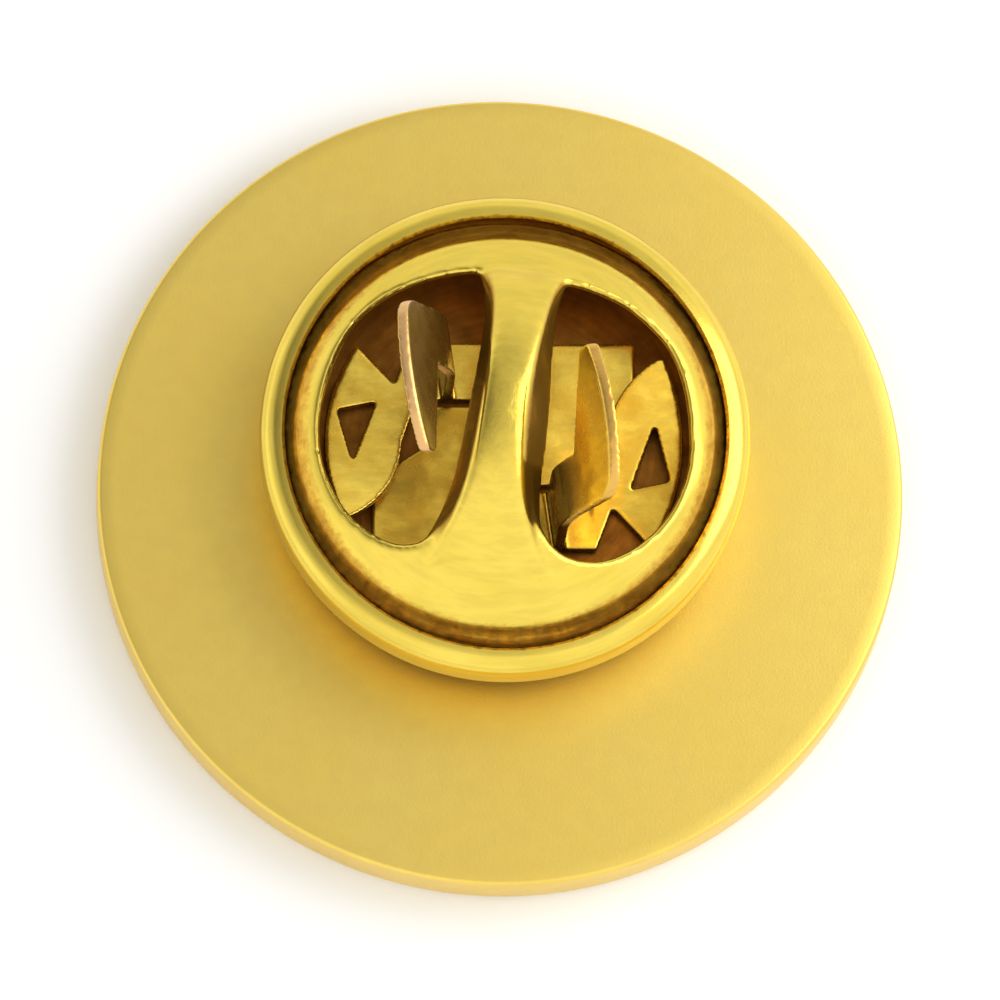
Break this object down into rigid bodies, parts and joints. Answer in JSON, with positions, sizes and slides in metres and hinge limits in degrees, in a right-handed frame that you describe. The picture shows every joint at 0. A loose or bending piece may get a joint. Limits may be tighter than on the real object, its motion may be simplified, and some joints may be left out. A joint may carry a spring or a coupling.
{
  "type": "lapel pin with butterfly clutch",
  "caption": "Round gold-plated lapel pin lying on its face, with the sprung butterfly clutch pushed onto the post at its back.",
  "frame": {"origin": "centre of the badge's front face, on the plane that it rests on", "axes": "+Z out of the back of the badge, along the post; +Y towards the edge that is uppermost when the pin is worn, which is the side that the post stands nearer to; +X to the right as seen from behind"},
  "size_m": [0.019, 0.019, 0.0086],
  "materials": {
    "satin_gold": "gold plated, satin",
    "polished_gold": "gold plated, polished",
    "spring_brass": "gold plated spring sheet, bright as stamped"
  },
  "bodies": {
    "badge": {"badge": "satin_gold"},
    "clutch": {"clutch_base": "polished_gold", "clutch_shell": "polished_gold"},
    "jaw_left": {"jaw_left": "spring_brass"},
    "jaw_right": {"jaw_right": "spring_brass"}
  },
  "joints": [
    {"name": "clutch_slide", "type": "slide", "parent": "badge", "child": "clutch", "axis": [0, 0, 1], "range_m": [0, 0.009]},
    {"name": "jaw_left_pinch", "type": "slide", "parent": "clutch", "child": "jaw_left", "axis": [1, 0, 0], "range_m": [0, 0.0002], "stiffness_N_per_m": 100},
    {"name": "jaw_right_pinch", "type": "slide", "parent": "clutch", "child": "jaw_right", "axis": [-1, 0, 0], "range_m": [0, 0.0002], "stiffness_N_per_m": 100}
  ]
}
